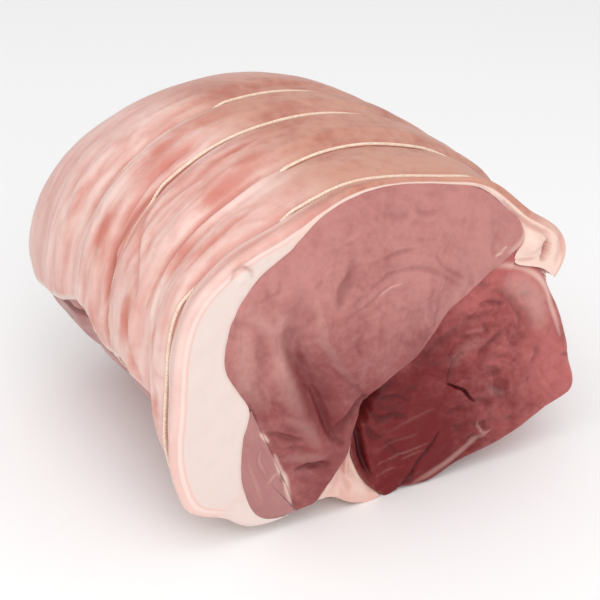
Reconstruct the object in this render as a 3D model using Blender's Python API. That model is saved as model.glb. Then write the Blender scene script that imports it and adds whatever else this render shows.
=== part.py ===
"""A boneless pork leg joint: the boned muscles rolled up in their own fat and rind, tied with string.

The roll lies along Y with its cut face towards -Y, and rests on the floor, z = 0.
A section across the roll is drawn in the (x, z) plane of the cut face, in millimetres.
Each piece is an outline in that section, carried along the roll by one shared rule, roll_point(),
so pieces that stay apart in the section stay apart everywhere.
"""

import math

import bmesh
import bpy
import numpy as np

MM = 0.001

# Driving dimensions, in millimetres
CENTRE = np.array([0.0, 72.0])  # the middle of the section, above the floor
ROLL_LENGTH = 178.0  # from the rim of the cut face to the far rim of the rind
LEAN_END = 172.0  # where the lean's far end starts to round off
FAR_SWELL = 10.0  # how far the largest muscle swells beyond that
STRING_DIAMETER = 1.5
STRING_AT = (14.0, 32.0, 74.0, 108.0)  # where each tie crosses the left side, behind the rim
STRING_SLANT = (-6.0, 9.0, 0.0, 0.0)  # how much further back each tie runs over the top
STRING_CLEAR = 0.8  # left between a tie and the meat under it
TIE_DEPTH = 0.04  # share of the radius by which a tie draws the meat in
TIE_REACH = 12.0  # how far that hollow reaches to each side of a tie
TIE_LIFT = 2.6  # how far above the floor the meat is in the hollow of a tie
FLOOR_DEPTH = 1.6  # how much of the lowest bulge the joint's own weight flattens
GAP = 0.3  # left between pieces that touch
SEAM_INSET = 0.35  # each muscle stays this far inside the seams that it shares
HIDDEN_GAP = 1.5  # left as well between fat and lean, out of sight behind the cut face
GRID_STEP = 7.2  # degrees between the points of an outline, the same for every piece that shares it
SEAM_STEP = 9.0  # millimetres between the points of a seam

# How the section changes along the roll: (behind the rim, x scale, z scale, x shift, lift off the floor)
PROFILE = (
    (-20, 1.00, 1.00, 0, 0),
    (0, 1.00, 1.00, 0, 0),
    (40, 1.00, 1.02, 0, 0),
    (80, 1.00, 1.03, 0, 0),
    (120, 1.00, 1.02, -1, 0),
    (145, 0.98, 0.99, -2, 0.5),
    (160, 0.94, 0.93, -4, 2),
    (170, 0.88, 0.86, -6, 5),
    (178, 0.81, 0.77, -7, 8),
    (190, 0.66, 0.60, -9, 14),
)

# Outlines of the section, as (angle in degrees from +X towards +Z, distance from CENTRE).
# The rind covers the top and the left.
# The cut face shows thick fat there, which thins out behind the first ties.
SKIN_AT_FACE = (
    (10, 90), (14, 93), (20, 94), (36, 85), (58, 82), (70, 78), (85, 77.5), (100, 79.5), (127, 83),
    (143, 92.5), (152, 97.5), (180, 98), (200, 104), (207, 104.5), (217, 95), (224, 92), (230, 85.5),
    (236, 77),
)
SKIN_BEHIND = (
    (10, 89), (20, 91), (30, 90), (45, 84.5), (70, 79.5), (85, 79), (100, 80), (127, 87), (152, 95.5),
    (180, 98), (188, 96.5), (194, 93), (236, 75),
)
LEAN_AT_FACE = (
    (0, 88), (8, 82.5), (15, 79.5), (26, 68), (31, 76), (36, 78), (45, 77.5), (58, 78), (70, 75.5),
    (100, 76.5), (115, 76.5), (127, 74), (143, 78), (160, 78.5), (171, 75.5), (178, 70), (186, 65.5),
    (199, 72), (213, 81), (226, 85), (236, 75), (243, 68), (258, 70.5), (268, 72), (277, 70), (288, 73.5),
    (300, 74.5), (319, 88.7), (329, 98.5), (336, 108.5), (344, 100.5), (352, 94),
)
LEAN_BEHIND = (
    (0, 87), (15, 83), (36, 80.5), (58, 76.5), (85, 73), (115, 75), (140, 80.5), (152, 85.5), (165, 88),
    (178, 89.5), (192, 90.5), (206, 82.5), (220, 73.5), (245, 73), (270, 76), (300, 78), (319, 89),
    (336, 101), (352, 92),
)
FAT_THINS = (10.0, 46.0)  # between these distances behind the rim the outlines change over
RIND_RIGHT_EDGE = 11.0  # the angle at which the rind ends, on the right of the roll
RIND_LEFT_EDGE_AT_FACE = 233.0  # and on the left, with the fat under the small muscle
RIND_LEFT_EDGE = (
    (0, RIND_LEFT_EDGE_AT_FACE), (10, RIND_LEFT_EDGE_AT_FACE), (15, 232), (20, 221), (26, 205), (32, 193),
    (38, 187), (48, 183), (58, 183), (67, 186), (74, 188.5), (80, 188), (87, 181), (95, 179), (108, 181),
    (126, 184), (150, 186), (ROLL_LENGTH, 188),
)  # that edge is drawn up behind the cut face, as (behind the rim, angle)
FIXED_RIND = 150.0  # up to this angle the rind lies alike all along the roll
SMALL_MUSCLE_EDGE = (215.0, 225.0)  # between these angles the fat draws back from the small muscle above it
RIND_EDGE_ROUNDS = 1 / 24  # share of the rind's width over which each of its long edges is rounded
RIND_EDGE_OPEN = 0.25  # share of its thickness that is left at the very edge

# Seams between the muscles, drawn in the section
MEETING = (-12, 57)  # where the seam fat's thin edge parts the two large muscles
EYE_ROUND_SEAM = ((67, 110), (57, 104), (48, 99), (38, 92), (28, 86), (20, 77), (12, 70), (2, 65), MEETING)
EYE_WEDGE_SEAM = (MEETING, (-18, 42), (-21, 30), (-28, 20), (-34, 12))
ROUND_WEDGE_SEAM = (MEETING, (-15, 38), (-15, 28), (-13, 18), (-8, 9), (-1, 2))
EYE_SMALL_SEAM = ((-44, 9), (-47, 19), (-51, 31), (-57, 46), (-64, 64))

# The cut end of each muscle: its middle, how far that stands proud of the rim of the rind,
# how far its edge does, as (angle about the middle, proud), and the radius of that edge
EYE_END = ((-20, 86), 9.0, ((20, 1), (60, 0), (180, 0), (225, 0.5), (260, 3), (300, 6), (335, 5)), 4.0)
ROUND_END = ((42, 50), 1.5, ((0, 0), (70, 0), (110, -2), (150, -4), (190, -7), (230, -2), (270, 0)), 4.0)
SMALL_END = ((-58, 30), 3.0, ((0, 0), (180, 0)), 2.5)
WEDGE_END = ((-20, 16), -1.0, ((0, -4), (90, -9), (180, 0), (270, 0)), 2.0)
END_RINGS = (0.3, 0.6, 0.85, 1.0)  # where the rings of a cut end lie, from its middle to its rounded edge
FAR_RINGS = (0.9, 0.72, 0.4)  # and those of the far end, from its edge to its middle
FAR_SWELL_SHARE = 0.17  # the far end of a small muscle swells by this share of its half width

# What puts the origin under the middle of the whole joint
MIDDLE_BEHIND = (LEAN_END + FAR_SWELL - EYE_END[1]) / 2
SIDE_SHIFT = 0.30

# Colours, from the photograph
LEAN_PALE = (0.50, 0.20, 0.18)
LEAN_DARK = (0.27, 0.055, 0.055)
LEAN_GREY = (0.45, 0.22, 0.21)
FAT_WHITE = (0.86, 0.71, 0.63)
RIND_PINK = (0.74, 0.43, 0.38)
STRING_CREAM = (0.76, 0.60, 0.45)


def smooth_values(pairs, at, period=None):
    """Reads a smooth curve through (position, value...) pairs at the given positions."""
    table = np.array(pairs, float)
    x, y = table[:, 0], table[:, 1:]
    at = np.asarray(at, float)
    if period:
        x = np.concatenate([x[-2:] - period, x, x[:2] + period])
        y = np.concatenate([y[-2:], y, y[:2]])
        at = (at - x[1]) % period + x[1]
    slope = np.gradient(y, x, axis=0)
    k = np.clip(np.searchsorted(x, at, side="right") - 1, 0, len(x) - 2)
    h = (x[k + 1] - x[k])[..., None]
    t = np.clip((at - x[k])[..., None] / h, 0, 1)
    rise = 3 * t**2 - 2 * t**3
    leave = t**3 - 2 * t**2 + t
    arrive = t**3 - t**2
    return (1 - rise) * y[k] + rise * y[k + 1] + h * (leave * slope[k] + arrive * slope[k + 1])


def smooth_step(low, high, x):
    t = np.clip((np.asarray(x, float) - low) / (high - low), 0, 1)
    return t * t * (3 - 2 * t)


def polar(angle, radius):
    """Section points at these angles and distances from CENTRE."""
    turn = np.radians(angle)
    return CENTRE + np.stack([radius * np.cos(turn), radius * np.sin(turn)], -1)


def outline_radius(at_face, behind_ties, angle, behind):
    """Distance from CENTRE to an outline that changes over behind the first ties."""
    face = smooth_values(at_face, angle, period=360)[..., 0]
    deep = smooth_values(behind_ties, angle, period=360)[..., 0]
    return face + (deep - face) * smooth_step(*FAT_THINS, behind)


def lean_radius(angle, behind):
    return outline_radius(LEAN_AT_FACE, LEAN_BEHIND, angle, behind)


def skin_radius(angle, behind):
    return outline_radius(SKIN_AT_FACE, SKIN_BEHIND, angle, behind)


def lean_chord(angle, behind):
    """The lean's outline as the solids have it, straight between the points of the grid."""
    grid = np.arange(0, 360 + GRID_STEP, GRID_STEP)
    return np.interp(angle, grid, lean_radius(grid, behind))


def rind_left_edge(behind):
    return smooth_values(RIND_LEFT_EDGE, behind)[..., 0]


def tie_hollow(behind):
    """How much the ties draw the meat in here, from 0 to 1."""
    return sum(np.clip(1 - ((behind - at) / TIE_REACH) ** 2, 0, 1) ** 2 for at in STRING_AT)


def roll_point(x, z, behind, below_meat=0.0):
    """Carries a point of the section to its place in the roll, in metres.

    The distance behind the rim is measured on the left side: ties and hollows slant a little over the top.
    The joint's weight flattens what would hang below the floor, except in the hollows that hold the ties.
    """
    x, z, behind = np.broadcast_arrays(*(np.asarray(v, float) for v in (x, z, behind)))
    scale_x, scale_z, shift, lift = np.moveaxis(smooth_values(PROFILE, behind), -1, 0)
    hollow = tie_hollow(behind)
    drawn_in = 1 - TIE_DEPTH * hollow
    over_top = smooth_step(-90, 30, x) - smooth_step(45, 95, x)
    slant = np.interp(behind, (0, *STRING_AT, ROLL_LENGTH), (0, *STRING_SLANT, 0)) * over_top
    px = shift + (x - CENTRE[0]) * scale_x * drawn_in
    pz = lift + (CENTRE[1] + (z - CENTRE[1]) * drawn_in) * scale_z - FLOOR_DEPTH
    pz = np.maximum(pz, TIE_LIFT * hollow - below_meat)
    return np.stack([px - SIDE_SHIFT, behind + slant - MIDDLE_BEHIND, pz], -1) * MM


def bearing(point):
    """The angle of a point of the section about CENTRE, from 0 to 360 degrees."""
    return math.degrees(math.atan2(point[1] - CENTRE[1], point[0] - CENTRE[0])) % 360


def grid_angles(start, end):
    """The angles of the grid between two bearings, anticlockwise."""
    end = end if end > start else end + 360
    first = math.floor(start / GRID_STEP) + 1
    last = math.ceil(end / GRID_STEP) - 1
    return np.arange(first, last + 1) * GRID_STEP


def evenly_spaced(line, count, closed=False):
    line = np.vstack([line, line[:1]]) if closed else line
    along = np.concatenate([[0], np.cumsum(np.linalg.norm(np.diff(line, axis=0), axis=1))])
    wanted = np.linspace(0, along[-1], count, endpoint=not closed)
    return np.stack([np.interp(wanted, along, line[:, k]) for k in (0, 1)], 1)


def seam_line(points):
    """A seam as evenly spaced points on a smooth curve."""
    numbered = [(i, *point) for i, point in enumerate(points)]
    curve = smooth_values(numbered, np.linspace(0, len(points) - 1, 80))
    length = np.linalg.norm(np.diff(curve, axis=0), axis=1).sum()
    return evenly_spaced(curve, round(length / SEAM_STEP) + 1)


def inset_loop(loop, distance):
    """Moves the points of an anticlockwise loop inwards, by one distance or by one each."""
    along = np.roll(loop, -1, 0) - np.roll(loop, 1, 0)
    along /= np.linalg.norm(along, axis=1)[:, None]
    inwards = np.stack([-along[:, 1], along[:, 0]], 1)
    return loop + np.broadcast_to(distance, len(loop))[:, None] * inwards


def muscle_loop(stretches):
    """The outline of one muscle, anticlockwise: (points, angles), from seams and arcs of the lean's outline.

    Each stretch is the points of a seam, or None for an arc. An arc's points are placed later, ring by ring,
    from their angles. A seam's points have no angle.
    """
    seams = [None if stretch is None else seam_line(stretch) for stretch in stretches]
    points, angles = [], []
    for i, seam in enumerate(seams):
        if seam is None:
            wanted = grid_angles(bearing(seams[i - 1][-1]), bearing(seams[(i + 1) % len(seams)][0]))
            points += [(0.0, 0.0)] * len(wanted)
            angles += list(wanted)
        else:
            shared = 0 if seams[i - 1] is None else 1
            points += [tuple(p) for p in seam[shared:]]
            angles += [np.nan] * (len(seam) - shared)
    return np.array(points), np.array(angles)


def lean_section(loop, behind):
    """A muscle's outline at one place: its arcs follow the lean, and its seams stay within it."""
    points, angles = loop
    on_arc = ~np.isnan(angles)
    offset = points - CENTRE
    radius = np.linalg.norm(offset, axis=1)
    seam_angle = np.degrees(np.arctan2(offset[:, 1], offset[:, 0])) % 360
    angle = np.where(on_arc, angles % 360, seam_angle)
    limit = lean_chord(angle, behind)
    placed = polar(angle, np.where(on_arc, limit, np.minimum(radius, limit)))
    return inset_loop(placed, np.where(on_arc, 0.0, SEAM_INSET))


def plain_material(name, colour, roughness):
    material = bpy.data.materials.new(name)
    material.use_nodes = True
    shader = material.node_tree.nodes["Principled BSDF"]
    shader.inputs["Base Color"].default_value = (*colour, 1)
    shader.inputs["Roughness"].default_value = roughness
    shader.inputs["Metallic"].default_value = 0
    return material


def add_part(name, data, colour, roughness):
    """Puts a mesh or curve into the joint's collection, under its node's name."""
    data.materials.append(plain_material(name, colour, roughness))
    thing = bpy.data.objects.new(name, data)
    joint_collection.objects.link(thing)
    return thing


def lofted_mesh(name, rings, middles=None):
    """A closed mesh through rings of points. Its ends close on two middle points, or with strips across."""
    bm = bmesh.new()
    loops = [[bm.verts.new(point) for point in ring] for ring in rings]
    count = len(loops[0])
    for low, high in zip(loops, loops[1:]):
        for i in range(count):
            j = (i + 1) % count
            bm.faces.new((low[i], low[j], high[j], high[i]))
    if middles:
        for loop, middle in zip((loops[0], loops[-1]), middles):
            tip = bm.verts.new(middle)
            for i in range(count):
                bm.faces.new((loop[i], loop[(i + 1) % count], tip))
    else:
        for loop in (loops[0], loops[-1]):
            for i in range(count // 2 - 1):
                bm.faces.new((loop[i], loop[i + 1], loop[count - 2 - i], loop[count - 1 - i]))
    bmesh.ops.recalc_face_normals(bm, faces=bm.faces)
    mesh = bpy.data.meshes.new(name)
    bm.to_mesh(mesh)
    bm.free()
    mesh.shade_smooth()
    mesh.set_sharp_from_angle(angle=math.radians(40))
    return mesh


def stations(start, end):
    """Distances behind the rim at which a piece has a ring: on each tie, beside it, and between."""
    wanted = {start, end, 10, 48, 58, 87, 95, 126, 141, 155, 166, LEAN_END}
    for at in STRING_AT:
        wanted |= {at - 7, at, at + 7}
    return sorted(v for v in wanted if start <= v <= end)


def muscle(name, stretches, end, colour):
    """One muscle: its outline carried along the roll, between a cut end in front and a rounded one behind."""
    middle, proud, edge_proud, edge_radius = end
    middle = np.array(middle, float)
    loop = muscle_loop(stretches)

    def ring(points, behind):
        return roll_point(points[:, 0], points[:, 1], behind)

    edge = lean_section(loop, 0.0)
    outwards = edge - middle
    reach = np.linalg.norm(outwards, axis=1)
    direction = np.degrees(np.arctan2(outwards[:, 1], outwards[:, 0])) % 360
    level = smooth_values(edge_proud, direction, period=360)[..., 0]
    flat = 1 - np.minimum(edge_radius / reach, 0.5)
    rings = []
    for share in END_RINGS:
        points = middle + outwards * (flat * share)[:, None]
        rings.append(ring(points, -(proud + (level - proud) * share**2)))
    half_turned = edge_radius * (1 - math.sqrt(0.5))
    rings.append(ring(middle + outwards * (1 - half_turned / reach)[:, None], half_turned - level))
    rings.append(ring(edge, np.maximum(edge_radius - level, 0.0)))
    rings += [ring(lean_section(loop, behind), behind) for behind in stations(10.0, LEAN_END)]
    last = lean_section(loop, LEAN_END)
    far_swell = min(FAR_SWELL, FAR_SWELL_SHARE * reach.mean())
    for share in FAR_RINGS:
        swell = far_swell * math.sqrt(1 - share**2)
        rings.append(ring(middle + (last - middle) * share, LEAN_END + swell))
    middles = (roll_point(*middle, -proud), roll_point(*middle, LEAN_END + far_swell))
    return add_part(name, lofted_mesh(name, rings, middles), colour, 0.4)


def rind_and_fat(name):
    """The blanket of fat and rind, open below: thick on the left of the cut face, rolled on the right."""
    width_at_face = RIND_LEFT_EDGE_AT_FACE - RIND_RIGHT_EDGE
    inner_angles = grid_angles(RIND_RIGHT_EDGE, RIND_LEFT_EDGE_AT_FACE)[1:-1]
    share = np.concatenate([[0, 0.01], (inner_angles - RIND_RIGHT_EDGE) / width_at_face, [0.99, 1]])
    to_edge = np.clip(np.minimum(share, 1 - share) / RIND_EDGE_ROUNDS, 0, 1)
    roundness = np.maximum(np.sqrt(to_edge * (2 - to_edge)), RIND_EDGE_OPEN)
    face_angles = RIND_RIGHT_EDGE + width_at_face * share

    def ring(behind, pinched):
        drawn_up = (rind_left_edge(behind) - FIXED_RIND) / (RIND_LEFT_EDGE_AT_FACE - FIXED_RIND)
        past_fixed = np.maximum(face_angles - FIXED_RIND, 0)
        angles = np.minimum(face_angles, FIXED_RIND) + past_fixed * drawn_up
        on_left = smooth_step(FIXED_RIND, FIXED_RIND + 15, angles)
        under_small_muscle = smooth_step(*SMALL_MUSCLE_EDGE, angles)
        hidden = smooth_step(2, 10, behind) * (0.4 + 0.6 * on_left + under_small_muscle)
        inner = lean_chord(angles, behind) + GAP + HIDDEN_GAP * np.maximum(hidden, 0.5 * under_small_muscle)
        skin = skin_radius(angles, behind)
        middle = inner + (skin - inner) * 2 / 3
        open_share = roundness * (1 - pinched)
        outside = polar(angles, middle + (skin - middle) * open_share)
        inside = polar(angles, middle + (inner - middle) * open_share)
        points = np.concatenate([outside, inside[::-1]])
        return roll_point(points[:, 0], points[:, 1], behind)

    rings = [ring(0.0, 0.3), ring(1.0, 0.08)]
    rings += [ring(behind, 0.0) for behind in stations(4.0, ROLL_LENGTH - 4)]
    rings += [ring(ROLL_LENGTH - 1.2, 0.1), ring(ROLL_LENGTH, 0.4)]
    return add_part(name, lofted_mesh(name, rings), RIND_PINK, 0.45)


def taut_outline(behind):
    """The section as a taut string goes round it: the convex hull of skin and bare lean."""
    angles = np.arange(0, 360, 2.0)
    covered = (angles >= RIND_RIGHT_EDGE) & (angles <= rind_left_edge(behind))
    points = polar(angles, np.where(covered, skin_radius(angles, behind), lean_radius(angles, behind)))
    ordered = points[np.lexsort((points[:, 1], points[:, 0]))]

    def half_hull(row):
        kept = []
        for point in row:
            while len(kept) > 1 and np.cross(kept[-1] - kept[-2], point - kept[-1]) <= 0:
                kept.pop()
            kept.append(point)
        return kept[:-1]

    corners = np.array(half_hull(ordered) + half_hull(ordered[::-1]))
    hull = evenly_spaced(corners, 720, closed=True) - CENTRE
    hull_angle = np.degrees(np.arctan2(hull[:, 1], hull[:, 0]))
    grid = np.arange(0, 360, GRID_STEP)
    return polar(grid, np.interp(grid, hull_angle, np.linalg.norm(hull, axis=1), period=360))


def string_tie(name, behind):
    """One tie: a closed loop of string, drawn taut round the roll in its hollow."""
    clearance = STRING_DIAMETER / 2 + STRING_CLEAR
    loop = inset_loop(taut_outline(behind), -clearance)
    route = roll_point(loop[:, 0], loop[:, 1], behind, below_meat=clearance)
    curve = bpy.data.curves.new(name, "CURVE")
    curve.dimensions = "3D"
    curve.bevel_depth = STRING_DIAMETER / 2 * MM
    curve.bevel_resolution = 1
    spline = curve.splines.new("POLY")
    spline.points.add(len(route) - 1)
    for point, place in zip(spline.points, route):
        point.co = (*place, 1)
    spline.use_cyclic_u = True
    return add_part(name, curve, STRING_CREAM, 0.9)


for old in list(bpy.data.objects):
    bpy.data.objects.remove(old, do_unlink=True)
joint_collection = bpy.data.collections.new("pork_leg_joint")
bpy.context.scene.collection.children.link(joint_collection)

eye_outline = (None, EYE_SMALL_SEAM[::-1], None, EYE_WEDGE_SEAM[::-1], EYE_ROUND_SEAM[::-1])
muscle("eye_muscle", eye_outline, EYE_END, LEAN_PALE)
muscle("round_muscle", (None, EYE_ROUND_SEAM, ROUND_WEDGE_SEAM), ROUND_END, LEAN_DARK)
muscle("small_muscle", (None, EYE_SMALL_SEAM), SMALL_END, LEAN_GREY)
muscle("seam_fat", (None, ROUND_WEDGE_SEAM[::-1], EYE_WEDGE_SEAM), WEDGE_END, FAT_WHITE)
rind_and_fat("rind_and_fat")
for number, place in enumerate(STRING_AT, start=1):
    string_tie(f"string_tie_{number}", place)
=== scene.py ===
# %% [markdown]
# # A rolled and tied pork leg joint
# The real thing is the boned leg of a pig. The butcher rolls the muscles up in their own fat and rind
# and ties the roll with string. The cut face in front shows the muscles, and the rind covers the top and left.
# The solids of the joint are loaded first. They stay as they are, and each piece made here stands for one of
# them.
# %% Load the solids
import math
import random

import bmesh
import bpy
import numpy as np
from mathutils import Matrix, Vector, noise


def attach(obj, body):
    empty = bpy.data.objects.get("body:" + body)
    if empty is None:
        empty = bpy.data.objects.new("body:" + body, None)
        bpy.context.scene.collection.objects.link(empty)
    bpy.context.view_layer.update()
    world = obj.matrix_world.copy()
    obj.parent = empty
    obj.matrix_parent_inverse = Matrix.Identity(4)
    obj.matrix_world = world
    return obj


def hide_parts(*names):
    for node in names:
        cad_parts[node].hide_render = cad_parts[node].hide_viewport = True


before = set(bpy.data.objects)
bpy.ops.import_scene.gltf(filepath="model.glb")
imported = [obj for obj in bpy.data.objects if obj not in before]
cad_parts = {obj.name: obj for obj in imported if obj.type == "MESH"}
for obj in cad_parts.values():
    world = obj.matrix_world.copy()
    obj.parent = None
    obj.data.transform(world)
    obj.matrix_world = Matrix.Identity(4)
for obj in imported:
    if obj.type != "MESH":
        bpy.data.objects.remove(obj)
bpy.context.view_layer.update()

# %% [markdown]
# The joint is easiest to think of as a section, drawn on the cut face, that is carried back along the roll.
# Its outlines are short tables with a smooth curve read through them. A Bezier curve would do the same,
# but a table is quicker to correct and serves for any measure.
# %% Smooth curves through a few numbers
def smooth_values(pairs, at, period=None):
    """Reads a smooth curve through (position, value...) pairs at the given positions."""
    table = np.array(pairs, float)
    x, y = table[:, 0], table[:, 1:]
    at = np.asarray(at, float)
    if period:
        x = np.concatenate([x[-2:] - period, x, x[:2] + period])
        y = np.concatenate([y[-2:], y, y[:2]])
        at = (at - x[1]) % period + x[1]
    slope = np.gradient(y, x, axis=0)
    k = np.clip(np.searchsorted(x, at, side="right") - 1, 0, len(x) - 2)
    h = (x[k + 1] - x[k])[..., None]
    t = np.clip((at - x[k])[..., None] / h, 0, 1)
    rise = 3 * t**2 - 2 * t**3
    leave = t**3 - 2 * t**2 + t
    arrive = t**3 - t**2
    return (1 - rise) * y[k] + rise * y[k + 1] + h * (leave * slope[k] + arrive * slope[k + 1])


def smooth_step(low, high, x):
    """0 at low, 1 at high, smooth between; low may be the larger one."""
    t = np.clip((np.asarray(x, float) - low) / (high - low), 0, 1)
    return t * t * (3 - 2 * t)


print("A smooth step from 10 to 20 mm has come to", round(float(smooth_step(10, 20, 12)), 2), "at 12 mm")

# %% [markdown]
# The skin and the lean under it each have an outline: distances (mm) from the section's middle at angles in
# degrees, from the right and anticlockwise. The fat is what lies between. It is thick on the cut face and thins
# behind the first ties, so each outline has two tables. Points turn to metres only when they are placed.
# %% Outlines of skin and lean
CENTRE = np.array([0.0, 72.0])
FAT_THINS = (10.0, 46.0)
SKIN_AT_FACE = (
    (10, 90), (14, 93), (20, 94), (36, 85), (58, 82), (70, 78), (85, 77.5), (100, 79.5), (127, 83),
    (143, 92.5), (152, 97.5), (180, 98), (200, 104), (207, 104.5), (217, 95), (224, 92), (230, 85.5),
    (236, 77),
)
SKIN_BEHIND = (
    (10, 89), (20, 91), (30, 90), (45, 84.5), (70, 79.5), (85, 79), (100, 80), (127, 87), (152, 95.5),
    (180, 98), (188, 96.5), (194, 93), (236, 75),
)
LEAN_AT_FACE = (
    (0, 88), (8, 82.5), (15, 79.5), (26, 68), (31, 76), (36, 78), (45, 77.5), (58, 78), (70, 75.5),
    (100, 76.5), (115, 76.5), (127, 74), (143, 78), (160, 78.5), (171, 75.5), (178, 70), (186, 65.5),
    (199, 72), (213, 81), (226, 85), (236, 75), (243, 68), (258, 70.5), (268, 72), (277, 70), (288, 73.5),
    (300, 74.5), (319, 88.7), (329, 98.5), (336, 108.5), (344, 100.5), (352, 94),
)
LEAN_BEHIND = (
    (0, 87), (15, 83), (36, 80.5), (58, 76.5), (85, 73), (115, 75), (140, 80.5), (152, 85.5), (165, 88),
    (178, 89.5), (192, 90.5), (206, 82.5), (220, 73.5), (245, 73), (270, 76), (300, 78), (319, 89),
    (336, 101), (352, 92),
)


def polar(angle, radius):
    turn = np.radians(angle)
    return CENTRE + np.stack([radius * np.cos(turn), radius * np.sin(turn)], -1)


def outline_radius(at_face, behind_ties, angle, behind):
    """An outline's distance from the middle, at angles and at places along the roll."""
    face = smooth_values(at_face, angle, period=360)[..., 0]
    deep = smooth_values(behind_ties, angle, period=360)[..., 0]
    return face + (deep - face) * smooth_step(*FAT_THINS, behind)


print("The cut face is", round(2 * float(smooth_values(SKIN_AT_FACE, 180.0, 360)[0])), "mm wide at the rind")

# %% [markdown]
# The rind doesn't go all the way round. Its right edge is straight, but the left one swings up behind the
# cut face, where the lean shows under it. So a table gives its angle along the roll.
# %% Edges of the rind
ROLL_LENGTH = 178.0
RIND_RIGHT_EDGE = 11.0
RIND_LEFT_EDGE_AT_FACE = 233.0
RIND_LEFT_EDGE = (
    (0, RIND_LEFT_EDGE_AT_FACE), (10, RIND_LEFT_EDGE_AT_FACE), (15, 232), (20, 221), (26, 205), (32, 193),
    (38, 187), (48, 183), (58, 183), (67, 186), (74, 188.5), (80, 188), (87, 181), (95, 179), (108, 181),
    (126, 184), (150, 186), (ROLL_LENGTH, 188),
)


def rind_left_edge(behind):
    return smooth_values(RIND_LEFT_EDGE, behind)[..., 0]


for place in (0, 50, 100):
    covered = round(float(rind_left_edge(place)) - RIND_RIGHT_EDGE)
    print(place, "mm behind the cut face the rind covers", covered, "degrees")

# %% [markdown]
# One rule carries every point of the section to its place in the roll. It draws the meat in under each tie,
# shrinks and lifts the far end, and flattens what would hang below the floor.
# Because all pieces share it, they keep fitting each other.
# %% Carry the section along the roll
MM = 0.001
STRING_AT = (14.0, 32.0, 74.0, 108.0)
STRING_SLANT = (-6.0, 9.0, 0.0, 0.0)
SLANT_STARTS, SLANT_ENDS = (-90, 30), (45, 95)  # x between which a tie's slant grows, and fades again
TIE_DEPTH = 0.04
TIE_REACH = 12.0
TIE_LIFT = 2.6
FLOOR_DEPTH = 1.6
SIDE_SHIFT = 0.30
MIDDLE_BEHIND = 86.5
# Each row is (behind, width, height, shift to the right, lift)
PROFILE = (
    (-20, 1.00, 1.00, 0, 0),
    (0, 1.00, 1.00, 0, 0),
    (40, 1.00, 1.02, 0, 0),
    (80, 1.00, 1.03, 0, 0),
    (120, 1.00, 1.02, -1, 0),
    (145, 0.98, 0.99, -2, 0.5),
    (160, 0.94, 0.93, -4, 2),
    (170, 0.88, 0.86, -6, 5),
    (178, 0.81, 0.77, -7, 8),
    (190, 0.66, 0.60, -9, 14),
)


def tie_hollow(behind):
    """1 under a tie and 0 away from it."""
    return sum(np.clip(1 - ((behind - at) / TIE_REACH) ** 2, 0, 1) ** 2 for at in STRING_AT)


def roll_point(x, z, behind, below_meat=0.0):
    """Carries points of the section (mm) to their place in the roll (m)."""
    x, z, behind = np.broadcast_arrays(*(np.asarray(v, float) for v in (x, z, behind)))
    scale_x, scale_z, shift, lift = np.moveaxis(smooth_values(PROFILE, behind), -1, 0)
    hollow = tie_hollow(behind)
    drawn_in = 1 - TIE_DEPTH * hollow
    over_top = smooth_step(*SLANT_STARTS, x) - smooth_step(*SLANT_ENDS, x)
    slant = np.interp(behind, (0, *STRING_AT, ROLL_LENGTH), (0, *STRING_SLANT, 0)) * over_top
    px = shift + (x - CENTRE[0]) * scale_x * drawn_in
    pz = lift + (CENTRE[1] + (z - CENTRE[1]) * drawn_in) * scale_z - FLOOR_DEPTH
    pz = np.maximum(pz, TIE_LIFT * hollow - below_meat)
    return np.stack([px - SIDE_SHIFT, behind + slant - MIDDLE_BEHIND, pz], -1) * MM


print("The roll is", ROLL_LENGTH, "mm long, with ties at", STRING_AT)

# %% [markdown]
# Meat is never quite even. Perlin noise gives soft lumps that depend only on the place and a seed.
# A Displace modifier would bulge a surface as well, but these values also serve for a depth or a shade.
# %% Soft unevenness
SEED_SHIFT = 7.3
OCTAVE_SHIFT = 3.1


def lumps(points, size, seed, octaves=2):
    """Soft noise between about -1 and 1 at (n, 3) points in mm, with lumps of that size."""
    shifted = np.asarray(points, float) / size + seed * SEED_SHIFT
    values = np.zeros(len(shifted))
    for octave in range(octaves):
        finer = shifted * 2**octave + OCTAVE_SHIFT * octave
        values += 0.5**octave * np.array([noise.noise(Vector(p)) for p in finer])
    return values


trial = lumps(np.column_stack([np.arange(200.0)] * 3), 24.0, 3)
print("Lumps run from", round(trial.min(), 2), "to", round(trial.max(), 2))

# %% [markdown]
# A muscle is a closed skin with a cut end in front, a long side and a rounded far end.
# A UV sphere has just that layout: one pole becomes the middle of the cut face, the other the far end,
# and its rings are shared out between face, edge and side. So there are no open seams to close later.
# %% Make a closed skin from a sphere
def add_object(name, bm):
    mesh = bpy.data.meshes.new(name)
    bm.to_mesh(mesh)
    bm.free()
    thing = bpy.data.objects.new(name, mesh)
    bpy.context.scene.collection.objects.link(thing)
    return thing


def closed_piece(name, bm):
    """A smooth object from a closed bmesh. A volume below 0 means that its faces look inward, so they turn."""
    bmesh.ops.recalc_face_normals(bm, faces=bm.faces)
    if bm.calc_volume(signed=True) < 0:
        bmesh.ops.reverse_faces(bm, faces=bm.faces)
    thing = add_object(name, bm)
    thing.data.shade_smooth()
    return thing


def place_all(verts, points):
    for vert, point in zip(verts, points):
        vert.co = point


def note_all(thing, looks):
    """Keeps numbers per point on the mesh, by name, for its material to read."""
    for name, values in looks.items():
        layer = thing.data.attributes.new(name, "FLOAT", "POINT")
        layer.data.foreach_set("value", np.asarray(values, np.float32))


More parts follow.
